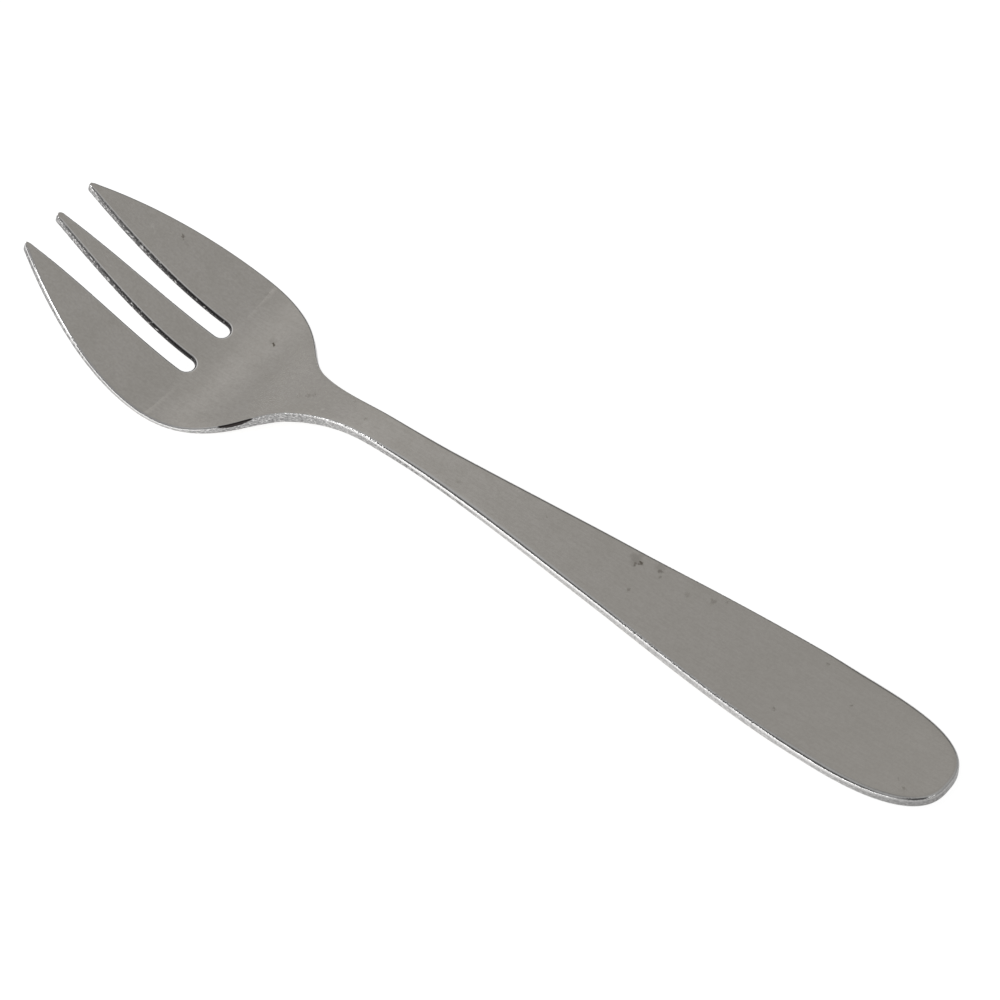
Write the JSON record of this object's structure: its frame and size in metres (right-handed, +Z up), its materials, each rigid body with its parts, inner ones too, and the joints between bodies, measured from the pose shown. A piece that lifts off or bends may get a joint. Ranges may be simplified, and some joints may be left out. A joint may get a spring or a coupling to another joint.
{
  "type": "oyster fork",
  "caption": "Small fork for shellfish, pressed from stainless sheet: broad dished head, pointed tines, narrow neck and a long plain handle with a round end.",
  "frame": {"origin": "on the surface the fork lies on, under the middle of its length and width", "axes": "+X towards the end of the handle, +Z up out of the dished face, +Y across; the tine points face -X"},
  "size_m": [0.1432, 0.0284, 0.0118],
  "materials": {
    "polished_stainless": "polished stainless steel, worn to a soft sheen"
  },
  "bodies": {
    "root": {"fork": "polished_stainless"}
  },
  "joints": []
}
